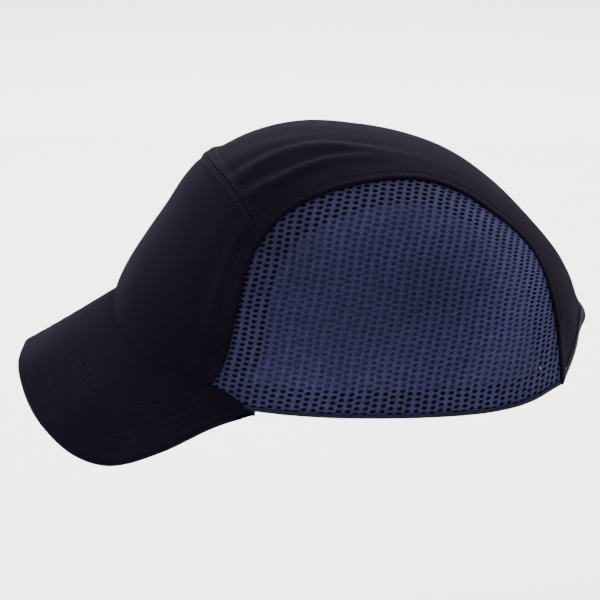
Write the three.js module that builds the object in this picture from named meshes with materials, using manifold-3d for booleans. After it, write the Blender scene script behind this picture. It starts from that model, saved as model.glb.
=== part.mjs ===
// Bump cap: a baseball-style textile cap over a removable plastic bump shell.
// Millimetres, +Z up. The peak points along -Y, the wearer's left is +X, and the origin is the
// middle of the head opening at the height of the side hem.
import * as THREE from 'three';
import * as BufferGeometryUtils from 'three/addons/utils/BufferGeometryUtils.js';
import Module from 'manifold-3d';

const wasm = await Module();
wasm.setup();

// ---- driving dimensions -------------------------------------------------------------------
const HALF_WIDTH = 84;          // outside half width of the cap at the hem
const CENTRE_HEIGHT = 28;       // above this the cap is a dome, below it the wall is upright
const SQUARENESS = 2.3;         // superellipse power of the cross sections; 2 would be an ellipse
const CAP_AROUND = 36;          // facets round the cap and from its top to the bottom of its wall
const CAP_DOWN = 22;
const FAR = 200;                // beyond everything, for cutters
const WALL_DEPTH = 110;         // how far the wall runs down before it is cut off at the hem
// Outline of the centre plane: angle in degrees (0 front, 90 top, 180 rear), distance from the
// dome centre.
const PROFILE = [
  [0, 112], [8, 111], [22, 104.5], [32, 102], [42, 103], [49, 103], [54, 101], [60, 99.5],
  [75, 95.5], [90, 91.5], [105, 90.5], [120, 91.3], [135, 92.5], [150, 96], [165, 102.5],
  [180, 108],
];
const GAP = 0.3;                // air between neighbouring solids
const FACET_SAG = 0.9;          // how far the flat faces of a panel fall inside its true curve
const CLOTH = 1.2;              // thickness of the panels
const SHELL_INSET = 3.5;        // outside of the bump shell, below the outside of the cloth
const SHELL_WALL = 2.2;
const PAD_INSET = SHELL_INSET + SHELL_WALL + 2 * GAP + FACET_SAG;
const PAD_THICKNESS = 5;
const BAND_INSET = PAD_INSET;
const BAND_THICKNESS = 2.6;
const BAND_HEIGHT = 30;

// Cross seam between front panel and crown: y = SEAM_Y + SEAM_SWEEP * x * x.
const SEAM_Y = -67;
const SEAM_SWEEP = 0.0055;

// Upper edge of a mesh side panel, seen from the side as y and z, front to rear.
const MESH_EDGE = [
  [-71, 4], [-66, 14], [-60.5, 24], [-57.5, 36], [-54, 50], [-49.5, 67], [-42.5, 80], [-31, 91.5],
  [-13, 99.6], [9.5, 103.7], [30, 103], [48, 96.8], [64.5, 85.8], [78.2, 73.9], [87.2, 61],
  [92, 45], [95, 28], [96.5, 12], [97, -8],
];

// Lower edge of the textile, seen from the side as y and z: it rises towards peak and rear.
const HEM = [
  [-62, 4], [-44, 2.2], [-24, 0.8], [0, 0], [55, 0], [73, 1.2], [83, 3.2], [92.5, 6.3], [100, 7.2],
];

// Root of the peak on the cap wall: angle from the front and height.
const PEAK_ROOT = [[0, 39.5], [9, 34.8], [20, 25.4], [35, 14.6], [50, 8], [60, 0.8]];
// Outer edge of the peak, centre to left end.
const PEAK_EDGE = [
  [0, -154.3, 13.5], [28, -154.2, 10], [51, -148.1, -0.6], [69, -138.1, -10], [80.5, -124.2, -18.6],
  [85.5, -107.6, -21.6], [86, -86.6, -15.5], [84.5, -65.6, -5.4], [80.5, -47.5, 1],
];
const PEAK_THICKNESS = 4.6;
const COVER = 0.9;              // cloth of the peak covers
const PEAK_BOARD_INSET = 3.6;
const POCKET_MARGIN = 0.4;      // stitched rim between the top cover's pocket and its edge
const POCKET_ROOT = 0.08;       // the pocket runs this share of the peak's length into the cap
const END_SHARE = 1 / 36;       // shares of the peak's surface that a millimetre of inset takes
const FRONT_SHARE = 1 / 48;     // off its ends and off its front

// Rear opening, half outline as x and z, and the strap across it.
const ARCH = [[0, 33], [13, 30], [24, 21], [36, 10.5], [45, 3], [48, -6]];
const STRAP_LOW = 5;
const STRAP_HIGH = 17;
const STRAP_WALL = 1;
const STRAP_Y = 92.4;             // inner face of the outer strap layer
const STRAP_END_X = 43;
const TAB_HINGE_X = -22;
const TAB_TIP_X = 21;
const LOOP_STRAP_START_X = -16;
const LOOP_STRAP_SWAY = 2.9;      // how far it bends out to reach the cap wall
const SWAY_SPAN = [26, 40];
const LOOP_PAD_SPAN = [-14, 24];
const HOOK_PAD_SPAN = [-9, 19];
const PILE_WALL = 0.7;
const PILE_MARGIN = 1.5;

// Rim of the bump shell, seen from the side as y and z.
const SHELL_RIM = [
  [-130, 48], [-98, 44], [-75, 26], [-58, 14], [-44, 9], [-20, 6.5], [20, 4.5], [58, 5], [76, 7],
  [84, 12], [86, 28], [87, 50], [92, 70], [130, 74],
];
// Middle lines of the vent slots beside each shell wing, seen from the side.
const VENT_WIDTH = 6;
const TOP_VENTS = [
  [[-22, 95.5], [-10, 98], [4, 99]],
  [[11, 99], [24, 98], [37, 95]],
  [[44, 92.5], [56, 87.5], [67, 81]],
];
const FRONT_VENTS = [
  [[-44.5, 66], [-49, 52], [-51.5, 40]],
  [[-52.5, 32], [-53, 22], [-52.5, -6]],
];
const CROWN_VENT_LENGTH = 30;
const CROWN_VENT_X = [-30, 0, 30];
const CROWN_VENT_Y = [-36, 14];

// Pads inside the shell: turn from the front and lift in degrees, then half sizes in degrees.
const PADS = {
  pad_front: [0, 42, 34, 9.5],
  pad_left: [88, 26, 30, 15],
  pad_right: [-88, 26, 30, 15],
  pad_rear: [180, 38, 30, 11],
};
const CROWN_PAD_HALF_X = 34;
const CROWN_PAD_HALF_Y = 44;
const CROWN_PAD_HEIGHT = 85;    // above the dome centre, where those half sizes are measured
const PAD_CORNER = 0.31;        // how much the rows of a pad shorten towards its ends
const CROWN_PAD_CORNER = 0.4;
const BAND_HALF_ANGLE = 104;
const BAND_DROP = 3;            // the band hangs this far below the root of the peak, inside it
const BAND_LOWEST = 3.5;

const SEAM_TAPE_HALF_LENGTH = 62;
const SEAM_TAPE_HALF_WIDTH = 5;
const SEAM_TAPE_WALL = 1.4;
const HEM_TAPE_ANGLES = [66, 148];
const HEM_TAPE_HEIGHT = 11;
const HEM_TAPE_WALL = 0.6;
const BINDING_WALL = 0.7;
const BINDING_WIDTH = 6;
const BINDING_HALF_SPAN = 46;
const LABEL_ANGLE = 175;
const LABEL_TURN = 10;
const LABEL_LOW = 41;
const LABEL_HEIGHT = 14;
const LABEL_WALL = 0.4;

const COLOURS = {
  cotton: 0x17141f, mesh: 0x33457a, shell: 0x3a5cab, foam: 0x26262a, terry: 0x1b1b22,
  strap: 0x14131a, board: 0xd8d6ce, label: 0xe4e2dc, tape: 0x15131c,
};
const FINISH = {
  cotton: [0.9, 0], mesh: [0.75, 0], shell: [0.4, 0], foam: [0.95, 0], terry: [1, 0],
  strap: [0.8, 0], board: [0.6, 0], label: [0.85, 0], tape: [0.9, 0],
};

// ---- curves and the dome --------------------------------------------------------------------
const radians = THREE.MathUtils.degToRad;

/** Smooth value at x of a curve through [x, y] points, with level ends. */
function smoothValue(points, x) {
  const last = points.length - 1;
  if (x <= points[0][0]) return points[0][1];
  if (x >= points[last][0]) return points[last][1];
  let i = 0;
  while (x > points[i + 1][0]) i += 1;
  const slope = (k) => {
    if (k === 0 || k === last) return 0;
    return (points[k + 1][1] - points[k - 1][1]) / (points[k + 1][0] - points[k - 1][0]);
  };
  const span = points[i + 1][0] - points[i][0];
  const t = (x - points[i][0]) / span;
  const rise = points[i + 1][1] - points[i][1];
  const start = slope(i) * span;
  const end = slope(i + 1) * span;
  const cubic = start + end - 2 * rise;
  return points[i][1] + t * (start + t * (3 * rise - 2 * start - end + t * cubic));
}

/** Distance from the dome centre to the outside of the cap along a unit direction. */
function reach(direction) {
  const inPlane = Math.hypot(direction.y, direction.z);
  const pitch = THREE.MathUtils.radToDeg(Math.atan2(direction.z, -direction.y));
  const radius = smoothValue(PROFILE, pitch);
  const across = Math.abs(direction.x) / HALF_WIDTH;
  const along = inPlane / radius;
  return (across ** SQUARENESS + along ** SQUARENESS) ** (-1 / SQUARENESS);
}

/** Point on the dome along an upward direction, inset below the outside. */
function domePoint(direction, inset) {
  return direction.clone().multiplyScalar(reach(direction) - inset)
    .add(new THREE.Vector3(0, 0, CENTRE_HEIGHT));
}

/** Point on the upright wall: angle from the front towards +X, height, inset. */
function wallPoint(angle, z, inset) {
  const turn = radians(angle);
  const direction = new THREE.Vector3(Math.sin(turn), -Math.cos(turn), 0);
  return domePoint(direction, inset).setZ(z);
}

/** Point at an angle from the front and a height, on wall or dome alike. */
function capPoint(angle, z, inset) {
  if (z <= CENTRE_HEIGHT) return wallPoint(angle, z, inset);
  const turn = radians(angle);
  let low = 0;
  let high = Math.PI / 2;
  let point;
  for (let step = 0; step < 24; step += 1) {
    const lift = (low + high) / 2;
    const direction = new THREE.Vector3(
      Math.sin(turn) * Math.cos(lift), -Math.cos(turn) * Math.cos(lift), Math.sin(lift));
    point = domePoint(direction, inset);
    if (point.z < z) low = lift;
    else high = lift;
  }
  return point;
}

// ---- solids ---------------------------------------------------------------------------------
/** Moves each vertex of a geometry with a function and returns it. */
function bend(geometry, move) {
  const positions = geometry.getAttribute('position');
  const vertex = new THREE.Vector3();
  for (let i = 0; i < positions.count; i += 1) {
    const moved = move(vertex.fromBufferAttribute(positions, i).clone());
    positions.setXYZ(i, moved.x, moved.y, moved.z);
  }
  return geometry;
}

/** A closed geometry as a manifold solid. */
function solid(geometry) {
  const bare = geometry.clone();
  bare.deleteAttribute('normal');
  bare.deleteAttribute('uv');
  const merged = BufferGeometryUtils.mergeVertices(bare, 1e-3);
  const vertProperties = new Float32Array(merged.getAttribute('position').array);
  const triVerts = new Uint32Array(merged.getIndex().array);
  const made = new wasm.Manifold(new wasm.Mesh({ numProp: 3, vertProperties, triVerts }));
  if (made.volume() > 0) return made;
  // the placing function turned it inside out, so the triangles are wound the other way
  triVerts.reverse();
  return new wasm.Manifold(new wasm.Mesh({ numProp: 3, vertProperties, triVerts }));
}

/** The largest body of a solid, without the slivers that cuts can leave. */
function largest(manifold) {
  const bodies = manifold.decompose();
  return bodies.reduce((best, body) => (body.volume() > best.volume() ? body : best));
}

/** A manifold solid as a geometry. */
function geometryOf(manifold) {
  const mesh = manifold.getMesh();
  const geometry = new THREE.BufferGeometry();
  geometry.setAttribute('position', new THREE.BufferAttribute(mesh.vertProperties, 3));
  geometry.setIndex(new THREE.BufferAttribute(mesh.triVerts, 1));
  return geometry;
}

/** The whole cap volume, inset below its outside, with an upright wall going far down. */
function capVolume(inset) {
  const ball = new THREE.SphereGeometry(1, CAP_AROUND, CAP_DOWN).rotateX(Math.PI / 2);
  return solid(bend(ball, (v) => {
    if (v.z >= -1e-6) return domePoint(v.normalize(), inset);
    const flat = new THREE.Vector3(v.x, v.y, 0);
    if (flat.length() < 1e-3) return new THREE.Vector3(0, 0, -WALL_DEPTH);
    return domePoint(flat.normalize(), inset).setZ(CENTRE_HEIGHT + v.z * WALL_DEPTH);
  }));
}

/** Prism of a side-view outline (y, z), between two x positions. */
function sidePrism(points, fromX, toX) {
  const shape = new THREE.Shape(points.map(([y, z]) => new THREE.Vector2(y, z)));
  const prism = new THREE.ExtrudeGeometry(shape, { depth: toX - fromX, bevelEnabled: false });
  // local x, y, z become world y, z, x
  prism.applyMatrix4(new THREE.Matrix4().set(0, 0, 1, fromX, 1, 0, 0, 0, 0, 1, 0, 0, 0, 0, 0, 1));
  return solid(prism);
}

/** Prism of a plan outline (x, y), between two heights. */
function planPrism(points, low, high) {
  const shape = new THREE.Shape(points.map(([x, y]) => new THREE.Vector2(x, y)));
  const prism = new THREE.ExtrudeGeometry(shape, { depth: high - low, bevelEnabled: false });
  return solid(prism.translate(0, 0, low));
}

/** Prism of a rear-view outline (x, z), between two y positions. */
function rearPrism(points, fromY, toY) {
  const shape = new THREE.Shape(points.map(([x, z]) => new THREE.Vector2(x, z)));
  const prism = new THREE.ExtrudeGeometry(shape, { depth: toY - fromY, bevelEnabled: false });
  prism.rotateX(Math.PI / 2);
  return solid(prism.translate(0, toY, 0));
}

/** Points of a smooth line through the given ones. */
function smoothLine(points, count) {
  const curve = new THREE.SplineCurve(points.map(([x, y]) => new THREE.Vector2(x, y)));
  return curve.getSpacedPoints(count).map((p) => [p.x, p.y]);
}

/** Slab whose u, v, w (each 0 to 1) are placed by a function. */
function slab(stepsU, stepsV, place) {
  const box = new THREE.BoxGeometry(1, 1, 1, stepsU, stepsV, 1);
  return solid(bend(box, (v) => place(v.x + 0.5, v.y + 0.5, v.z + 0.5)));
}

/** Side-view ribbon of a given width with round ends, round a middle line. */
function ribbonOutline(line, width) {
  const curve = new THREE.SplineCurve(line.map(([y, z]) => new THREE.Vector2(y, z)));
  const steps = 4;
  const outline = [];
  const side = (t, angle) => {
    const tangent = curve.getTangent(t);
    const turned = tangent.rotateAround(new THREE.Vector2(), angle).multiplyScalar(width / 2);
    const point = curve.getPoint(t).add(turned);
    outline.push([point.x, point.y]);
  };
  for (let i = 0; i <= steps; i += 1) side(i / steps, -Math.PI / 2);
  for (const angle of [-45, 0, 45]) side(1, radians(angle));
  for (let i = steps; i >= 0; i -= 1) side(i / steps, Math.PI / 2);
  for (const angle of [135, 180, 225]) side(0, radians(angle));
  return outline;
}

// ---- cutters --------------------------------------------------------------------------------
const hemLine = [];
const [hemFront, hemRear] = [HEM[0][0], HEM[HEM.length - 1][0]];
for (let y = hemFront; y <= hemRear; y += 6) hemLine.push([y, smoothValue(HEM, y)]);
const aboveHem = sidePrism([
  [-FAR, smoothValue(HEM, hemFront)], ...hemLine, [FAR, smoothValue(HEM, hemRear)],
  [FAR, FAR], [-FAR, FAR],
], -FAR, FAR);

/** Everything below the root of the peak, lowered by drop. */
function underPeakRoot(drop) {
  return slab(32, 1, (u, v, w) => {
    const angle = 62 * (2 * u - 1);
    const top = smoothValue(PEAK_ROOT, Math.abs(angle)) - drop;
    return wallPoint(angle, w > 0.5 ? top : -60, 30 - 70 * v);
  });
}

/** The side panel region on one side, grown outwards by grow. */
function meshRegion(side, grow) {
  const upper = smoothLine(MESH_EDGE, 40).map(([y, z]) => {
    const away = new THREE.Vector2(y - 15, z - 40).normalize().multiplyScalar(grow);
    return [y + away.x, z + away.y];
  });
  const outline = [...upper, [97 + grow, -60], [-71 - grow, -60]];
  const prism = sidePrism(outline.reverse(), 0, 130);
  if (side > 0) return prism;
  return prism.mirror([1, 0, 0]);
}

/** The region in front of the cross seam, moved forward by back. */
function frontRegion(back) {
  const edge = [];
  const halfSpan = 110;
  const steps = 32;
  for (let i = 0; i <= steps; i += 1) {
    const x = halfSpan * ((2 * i) / steps - 1);
    edge.push([x, Math.min(SEAM_Y + SEAM_SWEEP * x * x, 10) - back]);
  }
  return planPrism([...edge.reverse(), [-halfSpan, -FAR], [halfSpan, -FAR]], -60, FAR);
}

/** The rear opening, grown by grow. */
function archOpening(grow) {
  const half = smoothLine(ARCH, 12).map(([x, z]) => [x + grow * (x / 30), z + grow]);
  const mirrored = half.slice(1).reverse().map(([x, z]) => [-x, z]);
  return rearPrism([...mirrored, ...half, [60, -30], [-60, -30]].reverse(), 60, 140);
}

// ---- the textile cap ------------------------------------------------------------------------
const insideCloth = capVolume(CLOTH + GAP);

function clothShell(outerInset, innerInset) {
  return capVolume(outerInset).subtract(capVolume(innerInset));
}

function capPanels() {
  const wall = clothShell(0, CLOTH).intersect(aboveHem)
    .subtract(underPeakRoot(PEAK_THICKNESS))
    .subtract(archOpening(0));
  const left = meshRegion(1, -GAP / 2);
  const right = meshRegion(-1, -GAP / 2);
  const middle = wall.subtract(meshRegion(1, GAP / 2)).subtract(meshRegion(-1, GAP / 2));
  return {
    front_panel: middle.intersect(frontRegion(GAP / 2)),
    crown_panel: middle.subtract(frontRegion(-GAP / 2)),
    mesh_panel_left: wall.intersect(left),
    mesh_panel_right: wall.intersect(right),
  };
}

/** Tape sewn inside the cross seam. */
function seamTape() {
  return slab(20, 1, (u, v, w) => {
    const x = SEAM_TAPE_HALF_LENGTH * (2 * u - 1);
    const y = SEAM_Y + SEAM_SWEEP * x * x + SEAM_TAPE_HALF_WIDTH * (2 * v - 1);
    const inset = CLOTH + (w > 0.5 ? 0 : SEAM_TAPE_WALL);
    const target = new THREE.Vector3(x, y, 0);
    // the height at which a dome point lies over (x, y) is found by correcting a first guess
    let z = 60;
    for (let step = 0; step < 20; step += 1) {
      const direction = target.clone().setZ(z - CENTRE_HEIGHT).normalize();
      const point = domePoint(direction, inset);
      z += (Math.hypot(x, y) - Math.hypot(point.x, point.y)) * -0.8;
    }
    return domePoint(target.setZ(z - CENTRE_HEIGHT).normalize(), inset);
  }).intersect(insideCloth);
}

/** Bound hem inside the lower edge of a mesh panel. */
function hemTape(side) {
  const [start, end] = HEM_TAPE_ANGLES;
  return slab(16, 1, (u, v, w) => {
    const angle = side * (start + (end - start) * u);
    const inset = CLOTH + GAP + FACET_SAG + (side * (w - 0.5) > 0 ? 0 : HEM_TAPE_WALL);
    const point = wallPoint(angle, 0, inset);
    return point.setZ(smoothValue(HEM, point.y) + GAP + HEM_TAPE_HEIGHT * v);
  });
}

/** Folded binding inside the rear arch. */
function archBinding() {
  const ring = clothShell(CLOTH + GAP, CLOTH + GAP + BINDING_WALL).intersect(aboveHem);
  const rear = solid(new THREE.BoxGeometry(2 * BINDING_HALF_SPAN, 80, 160).translate(0, 100, 0));
  return ring.intersect(archOpening(BINDING_WIDTH)).subtract(archOpening(GAP)).intersect(rear);
}

// ---- the peak -------------------------------------------------------------------------------
const leftEdge = PEAK_EDGE.map((p) => new THREE.Vector3(...p));
const rightEdge = PEAK_EDGE.slice(1).reverse().map(([x, y, z]) => new THREE.Vector3(-x, y, z));
const edgeCurve = new THREE.CatmullRomCurve3([...rightEdge, ...leftEdge], false, 'centripetal');

/** Middle surface of the peak: across -1 (right end) to 1 (left end), out 0 (root) to 1. */
function peakSurface(across, out) {
  const t = THREE.MathUtils.clamp(across, -1, 1);
  const rootAngle = PEAK_ROOT[PEAK_ROOT.length - 1][0] * t;
  const root = wallPoint(rootAngle, smoothValue(PEAK_ROOT, Math.abs(rootAngle)), -GAP);
  return root.lerp(edgeCurve.getPointAt((t + 1) / 2), out);
}

/** Point of the peak, offset along the surface normal. */
function peakPoint(across, out, offset) {
  const step = 1e-3;
  const a = peakSurface(across, Math.max(out, 0.02));
  const alongEdge = peakSurface(across + step, Math.max(out, 0.02))
    .sub(peakSurface(across - step, Math.max(out, 0.02)));
  const outward = peakSurface(across, Math.max(out, 0.02) + step).sub(a);
  const normal = alongEdge.cross(outward).normalize();
  if (normal.z < 0) normal.negate();
  return peakSurface(across, out).addScaledVector(normal, offset);
}

/** Slab of the peak between two offsets; edge pulls its outline in, and root pushes it inwards. */
function peakSlab(low, high, edge, root = 0) {
  const endPull = edge * END_SHARE;
  const frontPull = edge * FRONT_SHARE;
  return slab(32, 4, (u, v, w) => {
    const across = (1 - endPull) * (2 * u - 1);
    const out = v * (1 - frontPull) - root * (1 - v);
    return peakPoint(across, out, w > 0.5 ? high : low);
  });
}

/** Keeps the peak off the cap wall where its root bends away from it. */
const outsideWall = capVolume(-GAP - 0.4);

function peakParts() {
  const half = PEAK_THICKNESS / 2;
  const body = peakSlab(-half, half, 0);
  const rim = COVER + POCKET_MARGIN;
  const pocket = peakSlab(-half - 1, half - COVER, rim, POCKET_ROOT);
  const under = peakSlab(-half, -half + COVER, rim + 5 * GAP);
  const board = peakSlab(-half + COVER + 2 * GAP, half - COVER - 2 * GAP, PEAK_BOARD_INSET);
  return {
    peak_top_cover: body.subtract(pocket).subtract(outsideWall),
    peak_board: board.subtract(capVolume(-GAP - 1.2)),
    peak_under_cover: under.subtract(outsideWall),
  };
}

// ---- the rear closure -----------------------------------------------------------------------
/** Flat strap piece between two x positions; sway moves it outwards at x. */
function strapPiece(fromX, toX, fromY, wall, low, high, sway = () => 0) {
  return slab(8, 1, (u, v, w) => {
    const x = fromX + (toX - fromX) * u;
    const z = low + (high - low) * v;
    return new THREE.Vector3(x, fromY + wall * (1 - w) + sway(x), z);
  });
}

function closureParts() {
  const hookY = STRAP_Y - GAP - PILE_WALL;
  const loopY = hookY - GAP - PILE_WALL;
  const innerY = loopY - GAP - STRAP_WALL;
  const pileLow = STRAP_LOW + PILE_MARGIN;
  const pileHigh = STRAP_HIGH - PILE_MARGIN;
  const joinWall = (x) => LOOP_STRAP_SWAY * THREE.MathUtils.smoothstep(x, ...SWAY_SPAN);
  return {
    strap_base_right: strapPiece(-STRAP_END_X, TAB_HINGE_X - GAP, STRAP_Y, STRAP_WALL,
      STRAP_LOW, STRAP_HIGH),
    loop_strap: strapPiece(LOOP_STRAP_START_X, STRAP_END_X, innerY, STRAP_WALL,
      STRAP_LOW, STRAP_HIGH, joinWall),
    loop_pad: strapPiece(...LOOP_PAD_SPAN, loopY, PILE_WALL, pileLow, pileHigh),
    hook_tab: strapPiece(TAB_HINGE_X, TAB_TIP_X, STRAP_Y, STRAP_WALL, STRAP_LOW, STRAP_HIGH),
    hook_pad: strapPiece(...HOOK_PAD_SPAN, hookY, PILE_WALL, pileLow, pileHigh),
  };
}

// ---- the bump insert ------------------------------------------------------------------------
function bumpShell() {
  const inner = SHELL_INSET + SHELL_WALL;
  const rim = smoothLine(SHELL_RIM, 36);
  const keep = sidePrism([...rim, [130, 200], [-130, 200]], -120, 120);
  let shell = clothShell(SHELL_INSET, inner).intersect(keep);
  for (const line of [...TOP_VENTS, ...FRONT_VENTS]) {
    const vent = sidePrism(ribbonOutline(line, VENT_WIDTH), 25, 120);
    shell = shell.subtract(vent).subtract(vent.mirror([1, 0, 0]));
  }
  for (const x of CROWN_VENT_X) {
    for (const y of CROWN_VENT_Y) {
      const line = [[x, y - CROWN_VENT_LENGTH / 2], [x, y], [x, y + CROWN_VENT_LENGTH / 2]];
      shell = shell.subtract(planPrism(ribbonOutline(line, VENT_WIDTH), 60, 160));
    }
  }
  return shell;
}

/** Rounded pad on the inside of the shell, round a direction given by turn and lift. */
function pad([turn, lift, halfTurn, halfLift]) {
  return slab(8, 7, (u, v, w) => {
    const a = 2 * u - 1;
    const b = 2 * v - 1;
    const x = a * Math.sqrt(1 - PAD_CORNER * b * b);
    const y = b * Math.sqrt(1 - PAD_CORNER * a * a);
    const up = radians(lift + halfLift * y);
    const round = radians(turn + halfTurn * x);
    const direction = new THREE.Vector3(
      Math.sin(round) * Math.cos(up), -Math.cos(round) * Math.cos(up), Math.sin(up));
    return domePoint(direction, PAD_INSET + PAD_THICKNESS * (1 - w));
  });
}

/** Crown pad, a rounded slab over the top. */
function crownPad() {
  return slab(8, 9, (u, v, w) => {
    const a = 2 * u - 1;
    const b = 2 * v - 1;
    const x = CROWN_PAD_HALF_X * a * Math.sqrt(1 - CROWN_PAD_CORNER * b * b);
    const y = CROWN_PAD_HALF_Y * b * Math.sqrt(1 - CROWN_PAD_CORNER * a * a) - 2;
    const direction = new THREE.Vector3(x, y, CROWN_PAD_HEIGHT).normalize();
    return domePoint(direction, PAD_INSET + PAD_THICKNESS * (1 - w));
  });
}

/** Towelling band along the front and side rim. */
function sweatband() {
  return slab(32, 3, (u, v, w) => {
    const angle = BAND_HALF_ANGLE * (2 * u - 1);
    const low = Math.max(smoothValue(PEAK_ROOT, Math.abs(angle)) - BAND_DROP, BAND_LOWEST);
    return capPoint(angle, low + BAND_HEIGHT * v, BAND_INSET + BAND_THICKNESS * (1 - w));
  });
}

function insertParts() {
  return {
    shell: bumpShell(),
    pad_crown: crownPad(),
    pad_front: pad(PADS.pad_front),
    pad_left: pad(PADS.pad_left),
    pad_right: pad(PADS.pad_right),
    pad_rear: pad(PADS.pad_rear),
    sweatband: sweatband(),
  };
}

/** Blank care label inside the crown, over the rear opening. */
function careLabel() {
  return slab(4, 4, (u, v, w) => capPoint(LABEL_ANGLE + LABEL_TURN * u,
    LABEL_LOW + LABEL_HEIGHT * v,
    CLOTH + GAP + FACET_SAG + (w > 0.5 ? 0 : LABEL_WALL)));
}

// ---- assembly -------------------------------------------------------------------------------
const SLOT = {
  front_panel: 'cotton', crown_panel: 'cotton', mesh_panel_left: 'mesh', mesh_panel_right: 'mesh',
  peak_top_cover: 'cotton', peak_board: 'board', peak_under_cover: 'cotton',
  front_seam_tape: 'tape', hem_tape_left: 'tape', hem_tape_right: 'tape', arch_binding: 'tape',
  strap_base_right: 'strap', loop_strap: 'strap', loop_pad: 'strap', hook_tab: 'strap',
  hook_pad: 'strap', care_label: 'label', shell: 'shell', pad_crown: 'foam', pad_front: 'foam',
  pad_left: 'foam', pad_right: 'foam', pad_rear: 'foam', sweatband: 'terry',
};

const solids = {
  ...capPanels(),
  front_seam_tape: seamTape(),
  hem_tape_left: hemTape(1),
  hem_tape_right: hemTape(-1),
  arch_binding: archBinding(),
  care_label: careLabel(),
  ...peakParts(),
  ...closureParts(),
  ...insertParts(),
};

const bumpCap = new THREE.Group();
bumpCap.name = 'bump_cap';
for (const [name, manifold] of Object.entries(solids)) {
  const slot = SLOT[name];
  const [roughness, metalness] = FINISH[slot];
  const material = new THREE.MeshStandardMaterial({ color: COLOURS[slot], roughness, metalness });
  const mesh = new THREE.Mesh(geometryOf(largest(manifold)), material);
  mesh.name = name;
  bumpCap.add(mesh);
}

export default bumpCap;
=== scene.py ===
import math

import bmesh
import bpy
import numpy as np
from mathutils import Matrix, Vector


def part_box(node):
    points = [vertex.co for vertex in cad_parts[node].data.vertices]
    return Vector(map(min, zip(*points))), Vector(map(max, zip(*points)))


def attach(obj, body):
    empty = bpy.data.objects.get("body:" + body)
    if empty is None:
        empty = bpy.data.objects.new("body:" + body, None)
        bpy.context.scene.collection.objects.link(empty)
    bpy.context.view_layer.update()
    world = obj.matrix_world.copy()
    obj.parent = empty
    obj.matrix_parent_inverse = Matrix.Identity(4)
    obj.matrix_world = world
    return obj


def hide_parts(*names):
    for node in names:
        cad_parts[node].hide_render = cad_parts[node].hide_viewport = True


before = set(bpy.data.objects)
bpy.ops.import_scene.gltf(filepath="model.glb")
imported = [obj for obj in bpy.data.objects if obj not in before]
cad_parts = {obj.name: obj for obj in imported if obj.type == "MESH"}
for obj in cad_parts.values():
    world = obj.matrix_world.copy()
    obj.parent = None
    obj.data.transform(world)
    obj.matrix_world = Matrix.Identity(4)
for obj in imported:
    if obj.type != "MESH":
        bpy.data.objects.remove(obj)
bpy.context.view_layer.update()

# A bump cap: textile cap, peak, rear strap and a bump shell with pads. Lengths in the cap's own
# measures are millimetres and are turned to metres when a piece is finished.
MM = 0.001
HALF_WIDTH = 84.0
CENTRE_HEIGHT = 28.0
SQUARENESS = 2.3
PROFILE = [
    (0, 112), (8, 111), (22, 104.5), (32, 102), (42, 103), (49, 103), (54, 101), (60, 99.5),
    (75, 95.5), (90, 91.5), (105, 90.5), (120, 91.3), (135, 92.5), (150, 96), (165, 102.5),
    (180, 108),
]
FRONT_RADIUS = PROFILE[0][1]
REAR_RADIUS = PROFILE[-1][1]
SEAM_Y = -67.0
SEAM_SWEEP = 0.0055
MESH_EDGE = [
    (-71, 4), (-66, 14), (-60.5, 24), (-57.5, 36), (-54, 50), (-49.5, 67), (-42.5, 80),
    (-31, 91.5), (-13, 99.6), (9.5, 103.7), (30, 103), (48, 96.8), (64.5, 85.8), (78.2, 73.9),
    (87.2, 61), (92, 45), (95, 28), (96.5, 12), (97, -8),
]
HEM = [
    (-62, 4), (-44, 2.2), (-24, 0.8), (0, 0), (55, 0), (73, 1.2), (83, 3.2), (92.5, 6.3),
    (100, 7.2),
]
PEAK_ROOT = [(0, 39.5), (9, 34.8), (20, 25.4), (35, 14.6), (50, 8), (60, 0.8)]
PEAK_EDGE = [
    (0, -154.3, 13.5), (28, -154.2, 10), (51, -148.1, -0.6), (69, -138.1, -10),
    (80.5, -124.2, -18.6), (85.5, -107.6, -21.6), (86, -86.6, -15.5), (84.5, -65.6, -5.4),
    (80.5, -47.5, 1),
]
PEAK_THICKNESS = 4.6
ARCH = [(0, 33), (13, 30), (24, 21), (36, 10.5), (45, 3), (48, -6)]
STRAP_BASE_END = -22.1    # just clear of the line the tab turns on
SHELL_INSET = 3.5
SHELL_WALL = 2.2
PAD_INSET = SHELL_INSET + SHELL_WALL + 0.3
PAD_THICKNESS = 5.0
SHELL_RIM = [
    (-130, 48), (-98, 44), (-75, 26), (-58, 14), (-44, 9), (-20, 6.5), (20, 4.5), (58, 5),
    (76, 7), (84, 12), (86, 28), (87, 50), (92, 70), (130, 74),
]
VENT_WIDTH = 6.0
TOP_VENTS = [
    [(-22, 95.5), (-10, 98), (4, 99)],
    [(11, 99), (24, 98), (37, 95)],
    [(44, 92.5), (56, 87.5), (67, 81)],
]
FRONT_VENTS = [
    [(-44.5, 66), (-49, 52), (-51.5, 40)],
    [(-52.5, 32), (-53, 22), (-52.5, -6)],
]
CLOTH_OUT = 0.55        # the cloth reaches this far outside the nominal surface
CLOTH_IN = -0.45
OVERLAP = 3.2           # how far crown and front cloth lap over the mesh
NET_OUT = -0.25
NET_THICKNESS = 0.75
NET_PITCH = (3.8, 2.6)
NET_RIB = 1.4           # width of the upright ribs and of the level threads before rounding
NET_THREAD = 0.85
NET_LEAN = 0.2
BAND_HEIGHT = 30.0
BAND_HALF_TURN = 103.5
BAND_LENGTH = 330.0
COVER_WALL = 0.85
COVER_TUCK = 3.4        # the peak's covers run this far in under the front panel
FLOOR_Z = -0.185        # metres


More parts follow.
